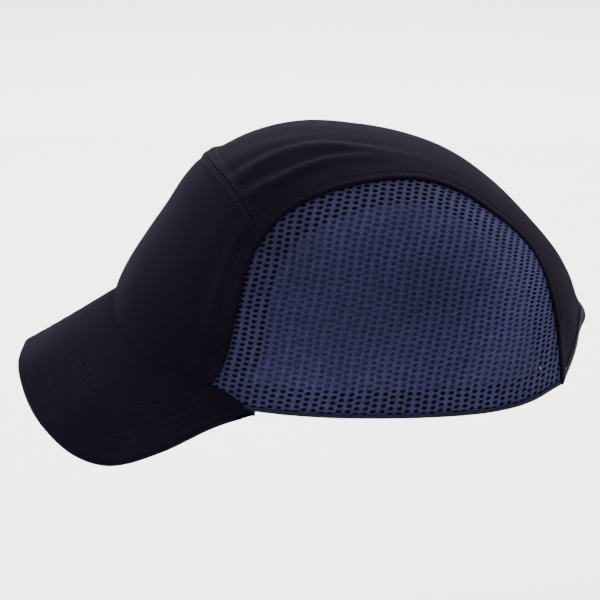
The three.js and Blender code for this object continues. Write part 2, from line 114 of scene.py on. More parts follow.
# ---- curves and the dome ----------------------------------------------------------------------
def smooth_value(points, x):
    """Smooth curve through (x, y) points, level at both ends."""
    xs, ys = np.array(points, float).T
    slopes = np.zeros(len(xs))
    slopes[1:-1] = (ys[2:] - ys[:-2]) / (xs[2:] - xs[:-2])
    x = np.clip(x, xs[0], xs[-1])
    i = np.clip(np.searchsorted(xs, x, side="right") - 1, 0, len(xs) - 2)
    span = xs[i + 1] - xs[i]
    t = (x - xs[i]) / span
    rise = ys[i + 1] - ys[i]
    start = slopes[i] * span
    end = slopes[i + 1] * span
    return ys[i] + t * (start + t * (3 * rise - 2 * start - end + t * (start + end - 2 * rise)))


def smooth_line(points, per_span=12):
    """Dense points of a smooth line through the given ones."""
    p = np.array(points, float)
    p = np.vstack([2 * p[0] - p[1], p, 2 * p[-1] - p[-2]])
    t = np.linspace(0, 1, per_span, endpoint=False)[:, None]
    dense = []
    for a, b, c, d in zip(p[:-3], p[1:-2], p[2:-1], p[3:]):
        dense.append(0.5 * (2 * b + (c - a) * t + (2 * a - 5 * b + 4 * c - d) * t**2
                            + (3 * b - a - 3 * c + d) * t**3))
    dense.append(p[-2][None])
    return np.vstack(dense)


def along(line, share):
    """Points at shares 0 to 1 of a dense line's length."""
    steps = np.linalg.norm(np.diff(line, axis=0), axis=1)
    length = np.concatenate([[0], np.cumsum(steps)])
    at = np.asarray(share) * length[-1]
    return np.stack([np.interp(at, length, line[:, k]) for k in range(line.shape[1])], -1)


def flatness(x):
    """Share of the centre plane's distance that is left at x across."""
    s = np.clip(np.abs(x) / HALF_WIDTH, 0, 0.9999)
    return (1 - s**SQUARENESS) ** (1 / SQUARENESS)


def stretch(x):
    """Length along the cloth for each millimetre across, at x."""
    s = np.clip(np.abs(x) / HALF_WIDTH, 0.001, 0.98)
    slope = s ** (SQUARENESS - 1) * (1 - s**SQUARENESS) ** (1 / SQUARENESS - 1)
    return np.sqrt(1 + (slope * 105 / HALF_WIDTH) ** 2)


def outward(points):
    """Unit direction out of the cap at points on it."""
    away = points - np.array([0, 0, CENTRE_HEIGHT])
    away[..., 2] = np.maximum(away[..., 2], 0)
    return away / np.linalg.norm(away, axis=-1, keepdims=True)


def girth_point(x, girth, lift=0.0):
    """Point at x across and an angle round the centre plane: 0 front, 90 top, 180 rear.
    Below 0 and above 180 it runs down the upright wall at the same scale."""
    x, girth, lift = np.broadcast_arrays(np.asarray(x, float), girth, lift)
    share = flatness(x)
    turn = np.radians(np.clip(girth, 0, 180))
    reach = smooth_value(PROFILE, girth) * share
    y = -reach * np.cos(turn)
    z = CENTRE_HEIGHT + reach * np.sin(turn)
    z = z + np.radians(np.minimum(girth, 0)) * FRONT_RADIUS
    z = z - np.radians(np.maximum(girth - 180, 0)) * REAR_RADIUS
    points = np.stack([x, y, z], -1)
    return points + outward(points) * lift[..., None]


def girth_of(y, z):
    """Angle round the centre plane of a point seen from the side."""
    drop = np.minimum(z - CENTRE_HEIGHT, 0)
    over = np.degrees(np.arctan2(np.maximum(z - CENTRE_HEIGHT, 0), -y))
    front = over + np.degrees(drop / FRONT_RADIUS)
    rear = over - np.degrees(drop / REAR_RADIUS)
    return np.where(y < 0, front, rear)


def across_of(y, z):
    """Distance across at which the cap's surface is seen at y, z from the side."""
    reach = smooth_value(PROFILE, girth_of(y, z))
    reach = np.where(z < CENTRE_HEIGHT, np.where(y < 0, FRONT_RADIUS, REAR_RADIUS), reach)
    share = np.hypot(y, np.maximum(z - CENTRE_HEIGHT, 0)) / reach
    return HALF_WIDTH * (1 - np.clip(share, 0, 0.9999) ** SQUARENESS) ** (1 / SQUARENESS)


def reach_of(direction):
    """Distance from the dome's centre to the surface along unit directions."""
    flat = np.hypot(direction[..., 1], direction[..., 2])
    pitch = np.degrees(np.arctan2(direction[..., 2], -direction[..., 1]))
    radius = smooth_value(PROFILE, pitch)
    across = np.abs(direction[..., 0]) / HALF_WIDTH
    return (across**SQUARENESS + (flat / radius) ** SQUARENESS) ** (-1 / SQUARENESS)


def dome_point(direction, inset):
    """Point on the dome along a direction, inset below its outside."""
    direction = direction / np.linalg.norm(direction, axis=-1, keepdims=True)
    reach = reach_of(direction) - inset
    return direction * reach[..., None] + np.array([0, 0, CENTRE_HEIGHT])


def wall_point(angle, z, inset=0.0):
    """Point on the upright wall at an angle from the front towards +X."""
    turn = np.radians(angle)
    direction = np.stack([np.sin(turn), -np.cos(turn), np.zeros_like(turn)], -1)
    point = direction * (reach_of(direction) - inset)[..., None]
    point[..., 2] = z
    return point


def cap_point(angle, z, inset):
    """Point at an angle from the front and a height, on wall or dome."""
    angle, z, inset = np.broadcast_arrays(np.asarray(angle, float), z, inset)
    turn = np.radians(angle)
    low = np.zeros(angle.shape)
    high = np.full(angle.shape, math.pi / 2)
    for _ in range(22):
        rise = (low + high) / 2
        direction = np.stack([np.sin(turn) * np.cos(rise), -np.cos(turn) * np.cos(rise),
                              np.sin(rise)], -1)
        point = dome_point(direction, inset)
        under = point[..., 2] < z
        low = np.where(under, rise, low)
        high = np.where(under, high, rise)
    wall = wall_point(angle, z, inset)
    return np.where((z < CENTRE_HEIGHT)[..., None], wall, point)


edge_line = smooth_line(MESH_EDGE)
edge_girth = girth_of(edge_line[:, 0], edge_line[:, 1])
edge_across = across_of(edge_line[:, 0], edge_line[:, 1])


def mesh_edge(girth):
    """Half width of the cotton between the two mesh panels."""
    return np.interp(girth, edge_girth, edge_across)


def seam_girth(x):
    """Girth of the cross seam at x."""
    wanted = SEAM_Y + SEAM_SWEEP * x**2
    low = np.full(np.shape(x), 15.0)
    high = np.full(np.shape(x), 90.0)
    for _ in range(24):
        middle = (low + high) / 2
        ahead = girth_point(x, middle)[..., 1] < wanted
        low = np.where(ahead, middle, low)
        high = np.where(ahead, high, middle)
    return low


def height_girth(x, z, rear):
    """Girth at x of a given low height at the front or the rear."""
    radius = REAR_RADIUS if rear else FRONT_RADIUS
    rise = np.clip((z - CENTRE_HEIGHT) / (radius * np.maximum(flatness(x), 0.3)), 0, 1)
    girth = np.degrees(np.arcsin(rise)) + np.degrees(np.minimum(z - CENTRE_HEIGHT, 0) / radius)
    return 180 - girth if rear else girth


def root_girth(x):
    """Girth at x of the lower edge of the front panel, behind the root of the peak."""
    angle = np.degrees(np.arctan2(np.abs(x), FRONT_RADIUS * flatness(x)))
    return height_girth(x, smooth_value(PEAK_ROOT, angle) - 2.5, False)


def arch_girth(x):
    """Girth at x of the lower edge of the crown at the rear: the opening, then the hem."""
    return height_girth(x, np.maximum(smooth_value(ARCH, np.abs(x)), HEM[-1][1]), True)


# ---- mesh making ------------------------------------------------------------------------------
def block(steps_u, steps_v, layers=1):
    """Closed block with x, y, z from 0 to 1, made of a grid drawn up into a slab."""
    bm = bmesh.new()
    bmesh.ops.create_grid(bm, x_segments=steps_u, y_segments=steps_v, size=0.5)
    bmesh.ops.translate(bm, verts=bm.verts, vec=(0.5, 0.5, 0))
    top = list(bm.faces)
    for _ in range(layers):
        made = bmesh.ops.extrude_face_region(bm, geom=top, use_keep_orig=top[0].verts[0].co.z == 0)
        moved = [g for g in made["geom"] if isinstance(g, bmesh.types.BMVert)]
        bmesh.ops.translate(bm, verts=moved, vec=(0, 0, 1 / layers))
        top = [g for g in made["geom"] if isinstance(g, bmesh.types.BMFace)]
    return bm


def coordinates(bm):
    """Places of the vertices as rows."""
    return np.array([v.co for v in bm.verts])


def set_coordinates(bm, points):
    """Moves the vertices to rows of places."""
    for vertex, point in zip(bm.verts, points):
        vertex.co = point


def lay_uv(bm, size):
    """Writes the block's own x, y, in metres over a size in millimetres, as the cloth's UV map."""
    layer = bm.loops.layers.uv.new("cloth")
    for face in bm.faces:
        for loop in face.loops:
            loop[layer].uv = (loop.vert.co.x * size[0] * MM, loop.vert.co.y * size[1] * MM)


def cloth_block(size, *steps):
    """A block with a UV map of a size in millimetres, and the block's own places as rows."""
    bm = block(*steps)
    lay_uv(bm, size)
    return bm, coordinates(bm)


def finish_piece(bm, name, body, material, nodes=()):
    """Turns a bmesh in millimetres into an object that rides on a body and replaces CAD nodes."""
    bmesh.ops.scale(bm, vec=(MM, MM, MM), verts=bm.verts)
    bmesh.ops.recalc_face_normals(bm, faces=bm.faces)
    mesh = bpy.data.meshes.new(name)
    bm.to_mesh(mesh)
    bm.free()
    for polygon in mesh.polygons:
        polygon.use_smooth = True
    piece = bpy.data.objects.new(name, mesh)
    bpy.context.scene.collection.objects.link(piece)
    piece.data.materials.append(material)
    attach(piece, body)
    if nodes:
        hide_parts(*nodes)
    return piece


def subdivide(piece):
    """Rounds a piece off with one level of subdivision."""
    modifier = piece.modifiers.new("smooth", "SUBSURF")
    modifier.levels = 1
    modifier.render_levels = 1
    return piece


# ---- materials --------------------------------------------------------------------------------
class Paint:
    """Small helper that builds one node material."""

    def __init__(self, name, roughness, specular=0.3, sheen=0.0, sheen_tint=(1, 1, 1, 1)):
        self.material = bpy.data.materials.new(name)
        self.material.use_nodes = True
        self.nodes = self.material.node_tree.nodes
        self.links = self.material.node_tree.links
        self.shader = self.nodes["Principled BSDF"]
        self.shader.inputs["Roughness"].default_value = roughness
        self.shader.inputs["Specular IOR Level"].default_value = specular
        self.shader.inputs["Sheen Weight"].default_value = sheen
        self.shader.inputs["Sheen Roughness"].default_value = 0.4
        self.shader.inputs["Sheen Tint"].default_value = sheen_tint

    def node(self, kind, **values):
        made = self.nodes.new(kind)
        for key, value in values.items():
            if key in made.inputs:
                made.inputs[key].default_value = value
            else:
                setattr(made, key, value)
        return made

    def place(self, uv=False, turn=0.0, size=(1, 1, 1)):
        """Coordinates of the piece, turned and scaled."""
        mapping = self.node("ShaderNodeMapping")
        mapping.inputs["Rotation"].default_value = (0, 0, turn)
        mapping.inputs["Scale"].default_value = size
        if uv:
            source = self.node("ShaderNodeUVMap", uv_map="cloth")
            self.links.new(source.outputs["UV"], mapping.inputs["Vector"])
        else:
            source = self.node("ShaderNodeTexCoord")
            self.links.new(source.outputs["Object"], mapping.inputs["Vector"])
        return mapping.outputs["Vector"]

    def along_y(self, start, end):
        """0 at y = start and 1 at y = end, in metres along the piece."""
        parts = self.node("ShaderNodeSeparateXYZ")
        self.links.new(self.place(), parts.inputs["Vector"])
        made = self.node("ShaderNodeMapRange")
        made.inputs["From Min"].default_value = start
        made.inputs["From Max"].default_value = end
        self.links.new(parts.outputs["Y"], made.inputs["Value"])
        return made.outputs["Result"]

    def noise(self, where, scale, detail=3.0, roughness=0.5):
        made = self.node("ShaderNodeTexNoise", Scale=scale, Detail=detail, Roughness=roughness)
        self.links.new(where, made.inputs["Vector"])
        return made.outputs["Fac"]

    def wave(self, where, scale, distortion=0.0, direction="X"):
        made = self.node("ShaderNodeTexWave", Scale=scale, Distortion=distortion)
        made.inputs["Detail Scale"].default_value = 2.0
        made.wave_profile = "SIN"
        made.bands_direction = direction
        self.links.new(where, made.inputs["Vector"])
        return made.outputs["Fac"]

    def cells(self, where, scale):
        made = self.node("ShaderNodeTexVoronoi", Scale=scale, feature="F1")
        self.links.new(where, made.inputs["Vector"])
        return made.outputs["Distance"]

    def combine(self, a, b, operation="ADD"):
        made = self.node("ShaderNodeMath", operation=operation)
        for socket, value in zip(made.inputs, (a, b)):
            if isinstance(value, (int, float)):
                socket.default_value = value
            else:
                self.links.new(value, socket)
        return made.outputs["Value"]

    def weighted(self, a, share_a, b, share_b):
        """Sum of two values, each times its share."""
        return self.combine(self.combine(a, share_a, "MULTIPLY"),
                            self.combine(b, share_b, "MULTIPLY"))

    def ramp(self, factor, stops):
        made = self.node("ShaderNodeValToRGB")
        band = made.color_ramp
        while len(band.elements) < len(stops):
            band.elements.new(0.5)
        for element, (position, colour) in zip(band.elements, stops):
            element.position = position
            element.color = (*colour, 1)
        self.links.new(factor, made.inputs["Fac"])
        return made.outputs["Color"]

    def colour(self, colour):
        self.links.new(colour, self.shader.inputs["Base Color"])

    def roughness(self, factor, low, high):
        made = self.node("ShaderNodeMapRange")
        made.inputs["To Min"].default_value = low
        made.inputs["To Max"].default_value = high
        self.links.new(factor, made.inputs["Value"])
        self.links.new(made.outputs["Result"], self.shader.inputs["Roughness"])

    def bump(self, height, depth, strength=1.0):
        made = self.node("ShaderNodeBump")
        made.inputs["Distance"].default_value = depth
        made.inputs["Strength"].default_value = strength
        self.links.new(height, made.inputs["Height"])
        self.links.new(made.outputs["Normal"], self.shader.inputs["Normal"])
        return self.material


def cotton_material():
    """Dark aubergine navy twill: diagonal ribs over a fine plain weave, soft fading, fine fuzz in the
    bump.
    """
    paint = Paint("cotton_twill", 0.88, 0.02, 0.018, (0.64, 0.38, 1.0, 1))
    ribs = paint.wave(paint.place(uv=True, turn=math.radians(58)), 560.0, 1.2)
    yarn = paint.wave(paint.place(uv=True), 1250.0, 2.0)
    fade = paint.noise(paint.place(), 26.0, 5.0, 0.6)
    fuzz = paint.noise(paint.place(), 1400.0, 3.0, 0.7)
    weave = paint.weighted(ribs, 0.65, yarn, 0.35)
    mix = paint.weighted(fade, 0.55, weave, 0.45)
    paint.colour(paint.ramp(mix, [(0.28, (0.0012, 0.0007, 0.0021)),
                                  (0.52, (0.0022, 0.0014, 0.0039)),
                                  (0.78, (0.0046, 0.0032, 0.0080))]))
    paint.roughness(fade, 0.8, 0.97)
    height = paint.combine(weave, paint.combine(fuzz, 0.5, "MULTIPLY"))
    return paint.bump(height, 0.00016, 0.9)


def net_material():
    """Knitted polyester yarn, blue, with painted light that makes it lighter towards the rear, and
    filament lines.
    """
    paint = Paint("mesh_yarn", 0.75, 0.06, 0.015, (0.6, 0.6, 1.0, 1))
    filaments = paint.wave(paint.place(turn=math.radians(14)), 900.0, 3.0)
    knots = paint.noise(paint.place(), 420.0, 3.0, 0.6)
    drift = paint.noise(paint.place(), 16.0, 3.0, 0.5)
    # painted light: the net's colour is raised towards the rear (+Y), standing in for light falling on
    # that side
    rear_painted_light = paint.combine(paint.along_y(-0.09, 0.10), 0.30, "MULTIPLY")
    mix = paint.weighted(knots, 0.45, drift, 0.55)
    mix = paint.combine(mix, rear_painted_light)
    paint.colour(paint.ramp(mix, [(0.45, (0.0055, 0.0048, 0.0165)), (0.65, (0.0120, 0.0107, 0.0335)),
                                  (0.88, (0.0240, 0.0244, 0.0670))]))
    paint.roughness(knots, 0.55, 0.85)
    height = paint.combine(filaments, knots)
    return paint.bump(height, 0.00014, 0.8)


def plastic_material():
    """Satin moulded blue plastic with a fine spark-eroded grain and scuffs."""
    paint = Paint("shell_plastic", 0.45, 0.22)
    grain = paint.cells(paint.place(), 900.0)
    scuff = paint.noise(paint.place(size=(1, 0.25, 1)), 120.0, 6.0, 0.65)
    tone = paint.noise(paint.place(), 9.0, 2.0)
    mix = paint.weighted(scuff, 0.4, tone, 0.6)
    paint.colour(paint.ramp(mix, [(0.3, (0.014, 0.016, 0.080)), (0.55, (0.020, 0.023, 0.105)),
                                  (0.8, (0.031, 0.035, 0.135))]))
    paint.roughness(scuff, 0.32, 0.6)
    return paint.bump(grain, 0.00006, 0.5)


def foam_material():
    """Charcoal closed-cell foam with open pores on its skin."""
    paint = Paint("pad_foam", 0.92, 0.1)
    pores = paint.cells(paint.place(), 1500.0)
    clumps = paint.noise(paint.place(), 240.0, 4.0, 0.6)
    paint.colour(paint.ramp(clumps, [(0.3, (0.006, 0.006, 0.007)), (0.7, (0.016, 0.016, 0.018))]))
    paint.roughness(clumps, 0.85, 1.0)
    return paint.bump(paint.combine(pores, clumps), 0.0002, 0.8)


def terry_material():
    """Looped towelling."""
    paint = Paint("terry_loops", 0.95, 0.05, 0.06, (0.5, 0.5, 0.7, 1))
    loops = paint.cells(paint.place(), 850.0)
    curl = paint.noise(paint.place(), 2200.0, 2.0, 0.7)
    tone = paint.noise(paint.place(), 60.0, 3.0)
    paint.colour(paint.ramp(paint.combine(loops, tone, "MULTIPLY"),
                            [(0.08, (0.012, 0.011, 0.018)), (0.5, (0.004, 0.0035, 0.007))]))
    height = paint.combine(1.0, paint.combine(loops, curl, "MULTIPLY"), "SUBTRACT")
    return paint.bump(height, 0.0009, 1.0)


def webbing_material():
    """Woven strap with a rib of weft and finer warp."""
    paint = Paint("strap_webbing", 0.8, 0.1, 0.03, (0.5, 0.5, 0.7, 1))
    weft = paint.wave(paint.place(uv=True), 420.0, 0.4)
    warp = paint.wave(paint.place(uv=True), 700.0, 0.4, direction="Y")
    tone = paint.noise(paint.place(), 300.0, 3.0)
    weave = paint.combine(weft, warp, "MULTIPLY")
    paint.colour(paint.ramp(paint.combine(weave, tone, "MULTIPLY"),
                            [(0.05, (0.003, 0.0026, 0.005)), (0.5, (0.013, 0.011, 0.020))]))
    return paint.bump(weave, 0.0003, 0.9)


def pile_material(name, scale, depth, colours):
    """Brushed or moulded pile of a hook-and-loop pad."""
    paint = Paint(name, 0.85, 0.1, 0.04, (0.5, 0.5, 0.7, 1))
    tufts = paint.cells(paint.place(), scale)
    fluff = paint.noise(paint.place(), scale * 0.6, 4.0, 0.7)
    paint.colour(paint.ramp(paint.combine(tufts, fluff, "MULTIPLY"), colours))
    return paint.bump(paint.combine(fluff, tufts, "SUBTRACT"), depth, 1.0)


def thread_material():
    """Twisted sewing thread, a little lighter than the cotton."""
    paint = Paint("sewing_thread", 0.65, 0.05, 0.01, (0.6, 0.6, 0.8, 1))
    twist = paint.wave(paint.place(turn=math.radians(40)), 1500.0, 0.5)
    tone = paint.noise(paint.place(), 90.0, 2.0)
    paint.colour(paint.ramp(paint.combine(twist, tone, "MULTIPLY"),
                            [(0.1, (0.0014, 0.0009, 0.0026)), (0.6, (0.0042, 0.0030, 0.0072))]))
    return paint.bump(twist, 0.0001, 0.8)


def tape_material(name, colours):
    """Narrow woven tape."""
    paint = Paint(name, 0.85, 0.1, 0.03, (0.5, 0.5, 0.7, 1))
    rib = paint.wave(paint.place(uv=True), 520.0, 0.6)
    tone = paint.noise(paint.place(), 70.0, 3.0)
    paint.colour(paint.ramp(paint.combine(rib, tone, "MULTIPLY"), colours))
    return paint.bump(rib, 0.0002, 0.8)


def label_material():
    """Blank woven satin label."""
    paint = Paint("label_satin", 0.55, 0.4, 0.2)
    warp = paint.wave(paint.place(uv=True), 900.0, 0.4, direction="Y")
    tone = paint.noise(paint.place(), 200.0, 3.0)
    paint.colour(paint.ramp(paint.combine(warp, tone, "MULTIPLY"),
                            [(0.1, (0.30, 0.29, 0.27)), (0.6, (0.42, 0.41, 0.39))]))
    return paint.bump(warp, 0.00008, 0.6)


def board_material():
    """Pale sheet plastic of the peak's stiffener."""
    paint = Paint("peak_board_sheet", 0.5, 0.4)
    grain = paint.noise(paint.place(size=(1, 6, 1)), 180.0, 4.0)
    paint.colour(paint.ramp(grain, [(0.3, (0.30, 0.29, 0.27)), (0.7, (0.38, 0.37, 0.35))]))
    return paint.bump(grain, 0.00008, 0.5)


cotton = cotton_material()
net = net_material()
plastic = plastic_material()
foam = foam_material()
terry = terry_material()
webbing = webbing_material()
loop_pile = pile_material("loop_pile", 1300.0, 0.0005,
                          [(0.05, (0.004, 0.0035, 0.006)), (0.4, (0.014, 0.012, 0.020))])
hook_film = pile_material("hook_film", 1700.0, 0.0003,
                          [(0.05, (0.003, 0.003, 0.005)), (0.4, (0.012, 0.011, 0.017))])
thread = thread_material()
tape = tape_material("binding_tape", [(0.05, (0.0012, 0.0009, 0.0022)),
                                      (0.6, (0.0050, 0.0038, 0.0085))])
lining = tape_material("hem_lining", [(0.05, (0.0020, 0.0020, 0.0060)),
                                      (0.6, (0.0070, 0.0070, 0.0200))])
facing = tape_material("seam_facing", [(0.05, (0.0030, 0.0028, 0.0085)),
                                       (0.6, (0.0058, 0.0056, 0.0160))])
satin = label_material()
board_sheet = board_material()


# ---- camera, light and floor ------------------------------------------------------------------
def studio():
    """Camera at the wearer's left, a little above, with a long lens; soft light; pale floor."""
    target = Vector((0, -24 * MM, 37.3 * MM))
    distance = 1.4
    elevation = math.radians(11)
    eye = target + Vector((math.cos(elevation), 0, math.sin(elevation))) * distance
    data = bpy.data.cameras.new("camera")
    data.lens = 178.7
    data.sensor_width = 36
    camera = bpy.data.objects.new("camera", data)
    camera.location = eye
    camera.rotation_euler = (target - eye).to_track_quat("-Z", "Y").to_euler()
    bpy.context.scene.collection.objects.link(camera)
    bpy.context.scene.camera = camera

    world = bpy.data.worlds.new("studio")
    world.use_nodes = True
    world.node_tree.nodes["Background"].inputs["Color"].default_value = (1, 1, 1, 1)
    world.node_tree.nodes["Background"].inputs["Strength"].default_value = 0.9
    bpy.context.scene.world = world
    lights = [
        ("key", (0.8, -0.7, 1.05), (0, 0, 0.05), 0.7, 22),
        ("overhead", (-1.0, -0.1, 1.7), (-1.0, -0.1, 0), 3.0, 210),
        ("far_floor", (-3.4, 0, 1.7), (-3.4, 0, 0), 3.0, 170),
    ]
    for name, place, aim, size, power in lights:
        lamp = bpy.data.lights.new(name, "AREA")
        lamp.size = size
        lamp.energy = power
        holder = bpy.data.objects.new(name, lamp)
        holder.location = place
        aim_at = Vector(aim) - Vector(place)
        holder.rotation_euler = aim_at.to_track_quat("-Z", "Y").to_euler()
        bpy.context.scene.collection.objects.link(holder)

    bm = bmesh.new()
    bmesh.ops.create_grid(bm, x_segments=2, y_segments=2, size=6)
    bmesh.ops.translate(bm, verts=bm.verts, vec=(0, 0, FLOOR_Z))
    mesh = bpy.data.meshes.new("floor")
    bm.to_mesh(mesh)
    bm.free()
    floor = bpy.data.objects.new("floor", mesh)
    bpy.context.scene.collection.objects.link(floor)
    paint = Paint("floor_paper", 0.9, 0.1)
    tone = paint.noise(paint.place(), 30.0)
    paint.colour(paint.ramp(tone, [(0.3, (0.94, 0.94, 0.94)), (0.7, (0.96, 0.96, 0.96))]))
    floor.data.materials.append(paint.material)


# ---- stitches ---------------------------------------------------------------------------------
def stitch_row(name, paths, body, length=2.4, gap=0.9, width=0.5, height=0.3):
    """Rows of short raised stitches along lines of points in millimetres."""
    template = bmesh.new()
    bmesh.ops.create_uvsphere(template, u_segments=6, v_segments=4, radius=0.5)
    bmesh.ops.rotate(template, verts=template.verts, cent=(0, 0, 0),
                     matrix=Matrix.Rotation(math.pi / 2, 3, "Y"))
    bmesh.ops.scale(template, vec=(length, width, height), verts=template.verts)
    shape = bpy.data.meshes.new("stitch_shape")
    template.to_mesh(shape)
    template.free()
    bm = bmesh.new()
    for path in paths:
        path = np.asarray(path, float)
        total = np.linalg.norm(np.diff(path, axis=0), axis=1).sum()
        count = max(int(total / (length + gap)), 1)
        share = (np.arange(count) + 0.5) / count
        here = along(path, share)
        ahead = along(path, np.minimum(share + 0.002, 1)) - along(path, np.maximum(share - 0.002, 0))
        normals = outward(here.copy())
        for point, tangent, normal in zip(here, ahead, normals):
            x = Vector(tangent).normalized()
            z = (Vector(normal) - x * x.dot(Vector(normal))).normalized()
            y = z.cross(x)
            start = len(bm.verts)
            bm.from_mesh(shape)
            bm.verts.ensure_lookup_table()
            turn = Matrix((x, y, z)).transposed().to_4x4()
            turn.translation = Vector(point)
            bmesh.ops.transform(bm, matrix=turn, verts=bm.verts[start:])
    bpy.data.meshes.remove(shape)
    return finish_piece(bm, name, body, thread)


# ---- cotton panels ----------------------------------------------------------------------------
def panel_places(u, v, upper, lower):
    """x and girth at u (-1 to 1) across and v (0 to 1) from the upper edge to the lower."""
    girth = upper(u * 50) * (1 - v) + lower(u * 50) * v
    for _ in range(14):
        edge = mesh_edge(girth)
        x = u * (edge + OVERLAP / stretch(edge))
        girth = 0.5 * girth + 0.5 * (upper(x) * (1 - v) + lower(x) * v)
    return x, girth


def border_distance(x, girth):
    """Distance along the cloth from x to the lapped edge."""
    edge = mesh_edge(girth)
    return np.maximum((edge + OVERLAP / stretch(edge) - np.abs(x)) * stretch((np.abs(x) + edge) / 2), 0)


def hump(distance, width):
    """1 at no distance, falling smoothly to 0 over a few widths."""
    return np.exp(-((distance / width) ** 2))


# Folds of the crown: place across at the cross seam, drift per degree of girth, height, half
# width, the girth at which it fades, and a phase for its slight wandering.
CROWN_FOLDS = [
    (56, -0.30, 1.45, 2.6, 92, 0.0), (43, -0.20, 1.25, 3.4, 104, 1.9), (30, -0.02, 0.40, 4.6, 82, 3.1),
    (8, 0.05, 0.30, 5.2, 90, 4.0), (-22, 0.08, 0.45, 4.4, 88, 5.2),
    (-42, 0.17, 1.15, 3.2, 106, 0.7), (-56, 0.29, 1.3, 2.7, 90, 4.4),
]


def crown_folds(x, girth):
    """Long soft folds that start behind the cross seam and run back over the crown."""
    folds = np.zeros_like(x)
    start = 1 - np.exp(-np.clip(girth - seam_girth(x), 0, None) / 3.5)
    for middle, drift, size, width, end, phase in CROWN_FOLDS:
        line = middle + drift * (girth - 50) + 1.9 * np.sin(girth / 8.5 + phase)
        fade = 1 / (1 + np.exp((girth - end) / 6))
        ridge = hump(x - line, width) - 0.45 * hump(x - line + np.sign(middle) * 1.9 * width, width)
        folds += size * ridge * fade
    return folds * start


def seam_relief(x, girth, behind):
    """Rise of the cloth at the cross seam: the front panel lies over a folded allowance."""
    distance = (girth - seam_girth(x)) * math.radians(1) * 100 * (1 if behind else -1)
    return 0.7 * hump(distance - 1.5, 1.6) - 0.35 * hump(distance - 5.2, 1.2)


def border_relief(near):
    """Rise of the cloth where it is folded under along the mesh."""
    return 0.6 * hump(near, 5.0) - 0.3 * hump(near - 4.2, 1.0)


def cotton_panel(name, steps, upper, lower, relief, size, node):
    bm, uvw = cloth_block(size, *steps)
    x, girth = panel_places(2 * uvw[:, 0] - 1, uvw[:, 1], upper, lower)
    near = border_distance(x, girth)
    lift = relief(x, girth) + border_relief(near)
    outside = CLOTH_OUT + lift - 0.35 * hump(near, 0.7)
    inside = CLOTH_IN + 0.8 * lift
    set_coordinates(bm, girth_point(x, girth, np.where(uvw[:, 2] > 0.5, outside, inside)))
    return finish_piece(bm, name, "cap", cotton, [node])


def front_relief(x, girth):
    """Front panel: upright crease ahead of each mesh panel and a shallow hollow beside it."""
    near = border_distance(x, girth)
    fade = hump(girth - 22, 34)
    crease = 0.9 * hump(near - 11, 2.6) - 0.5 * hump(near - 17, 4.0)
    drape = 0.5 * np.sin(x / 17.0 + girth / 21.0) * hump(np.abs(x) - 40, 22)
    return crease * fade + drape * hump(girth - 18, 18) + seam_relief(x, girth, False)


def smooth_step(value, start, end):
    """0 before start and 1 after end, easing between them."""
    share = np.clip((value - start) / (end - start), 0, 1)
    return share * share * (3 - 2 * share)


def arch_middle(x):
    """1 over the middle of the rear opening, fading to 0 at its sides."""
    return hump(np.maximum(np.abs(x) - 6, 0), 7)


def rear_relief(x, girth):
    """A roll over the top of the rear opening, a dip above it, and the legs drawn in."""
    above = (arch_girth(x) - girth) * math.radians(1) * REAR_RADIUS
    roll = (1.1 * hump(above + 0.5, 2.6) - 0.9 * hump(above - 9, 5.5)) * arch_middle(x)
    beside = smooth_step(np.abs(x), 10, 22) * smooth_step(girth, 169, 180)
    depth = 1.6 + 1.2 * smooth_step(girth, 183, 192)
    return roll - depth * beside * (1 - hump(border_distance(x, girth), 6))


def crown_relief(x, girth):
    """Folds, the cross seam, the shape round the rear opening, and waves down the legs."""
    waves = 0.4 * np.sin(x / 8.0 + girth / 12.0) * hump(girth - 158, 20)
    return crown_folds(x, girth) + seam_relief(x, girth, True) + rear_relief(x, girth) + waves


def border_places(side, offset, share, upper, lower):
    """x and girth along a mesh panel's edge, offset in millimetres towards the mesh."""
    girth = upper(side * 45 + 0 * share) * (1 - share) + lower(side * 45 + 0 * share) * share
    for _ in range(14):
        edge = mesh_edge(girth)
        x = side * (edge + offset / stretch(edge))
        girth = 0.5 * girth + 0.5 * (upper(x) * (1 - share) + lower(x) * share)
    return x, girth


def cotton_panels():
    cotton_panel("front_panel_cloth", (150, 96), seam_girth, root_girth, front_relief,
                 (190, 95), "front_panel")
    cotton_panel("crown_panel_cloth", (120, 230), seam_girth, arch_girth, crown_relief,
                 (96, 250), "crown_panel")
    rows = []
    x = np.linspace(-70, 70, 160)
    for offset in (-2.3, 1.4, 4.6):
        girth = seam_girth(x) + np.degrees(offset / 100)
        behind = offset > 0
        lift = CLOTH_OUT + seam_relief(x, girth, behind)
        inside = np.abs(x) < mesh_edge(girth)
        rows.append(girth_point(x, girth, lift)[inside])
    share = np.linspace(0.004, 0.996, 300)
    for side in (1, -1):
        for offset in (OVERLAP - 1.7, OVERLAP - 6.4):
            for upper, lower, relief in ((seam_girth, root_girth, front_relief),
                                         (seam_girth, arch_girth, crown_relief)):
                x, girth = border_places(side, offset, share, upper, lower)
                rows.append(girth_point(x, girth, CLOTH_OUT + relief(x, girth)
                                        + border_relief(OVERLAP - offset)))
    stitch_row("panel_stitches", rows, "cap")


def folded(line, share, depth):
    """Place on the section of a folded tape: share along its line, depth through it."""
    place = along(line, share)
    ahead = along(line, np.minimum(share + 0.01, 1)) - along(line, np.maximum(share - 0.01, 0))
    ahead /= np.linalg.norm(ahead, axis=1, keepdims=True)
    return place[:, 0] + ahead[:, 1] * depth, place[:, 1] - ahead[:, 0] * depth


# ---- knitted mesh -----------------------------------------------------------------------------
NET_COLUMNS = 60
NET_ROWS = 54


